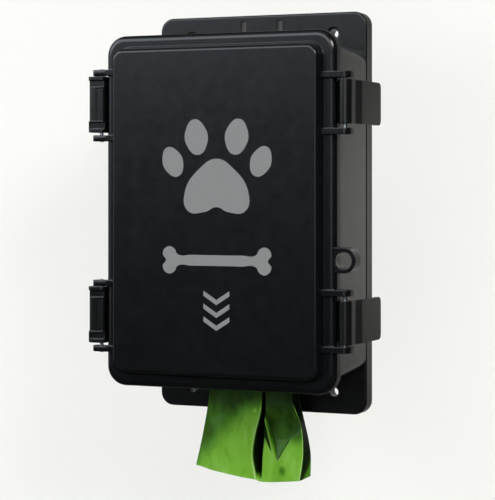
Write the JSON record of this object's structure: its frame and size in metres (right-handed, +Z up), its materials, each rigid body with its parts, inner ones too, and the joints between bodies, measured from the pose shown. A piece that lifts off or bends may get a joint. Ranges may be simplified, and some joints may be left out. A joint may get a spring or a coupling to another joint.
{
  "type": "pet waste bag dispenser",
  "caption": "Black wall box with hinged, latched and lockable lid, on a tray-like wall plate; rolled bags inside feed down through a slot in the floor.",
  "frame": {"origin": "on the wall plane, in the middle of the four wall screw holes", "axes": "+Z up, +Y into the wall, so the lid faces -Y; +X is the latch side"},
  "size_m": [0.2283, 0.1143, 0.3813],
  "materials": {
    "abs": "satin moulded black",
    "lid_abs": "satin moulded black with a grey printed design",
    "foam": "matt foam",
    "steel": "turned, zinc plated",
    "zinc_sheet": "folded, zinc plated",
    "brass": "knurled",
    "grey_plastic": "moulded grey",
    "card": "brown card",
    "film": "thin green film"
  },
  "bodies": {
    "root": {"wall_plate": "abs", "plate_inserts": "brass", "case": "abs", "case_padlock_ear": "abs", "upper_latch_keeper": "abs", "lower_latch_keeper": "abs", "case_screws": "steel", "outlet_bezel": "abs", "upper_hinge_bracket": "abs", "lower_hinge_bracket": "abs", "upper_hinge_pin": "steel", "lower_hinge_pin": "steel", "left_roll_bracket": "zinc_sheet", "right_roll_bracket": "zinc_sheet", "bracket_screws": "steel", "feed_spindle": "grey_plastic", "spare_spindle": "grey_plastic", "bag_tail": "film"},
    "lid": {"lid": "lid_abs", "lid_padlock_ear": "lid_abs", "lid_gasket": "foam", "upper_latch_pin": "steel", "lower_latch_pin": "steel"},
    "upper_latch": {"upper_latch_lever": "abs"},
    "lower_latch": {"lower_latch_lever": "abs"},
    "feed_roll": {"feed_roll_core": "card", "feed_bag_roll": "film"},
    "spare_roll": {"spare_roll_core": "card", "spare_bag_roll": "film"}
  },
  "joints": [
    {"name": "lid_hinge", "type": "hinge", "parent": "root", "child": "lid", "pos_m": [-0.1032, -0.1006, 0.0021], "axis": [0, 0, -1], "range_deg": [0, 115]},
    {"name": "upper_latch_swing", "type": "hinge", "parent": "lid", "child": "upper_latch", "pos_m": [0.1045, -0.0992, 0.0853], "axis": [0, 0, -1], "range_deg": [0, 105]},
    {"name": "lower_latch_swing", "type": "hinge", "parent": "lid", "child": "lower_latch", "pos_m": [0.1045, -0.0992, -0.0811], "axis": [0, 0, -1], "range_deg": [0, 105]},
    {"name": "feed_roll_spin", "type": "hinge", "parent": "root", "child": "feed_roll", "pos_m": [0, -0.0575, -0.0499], "axis": [1, 0, 0], "continuous": true},
    {"name": "spare_roll_spin", "type": "hinge", "parent": "root", "child": "spare_roll", "pos_m": [0, -0.0575, 0.0541], "axis": [1, 0, 0], "continuous": true}
  ]
}
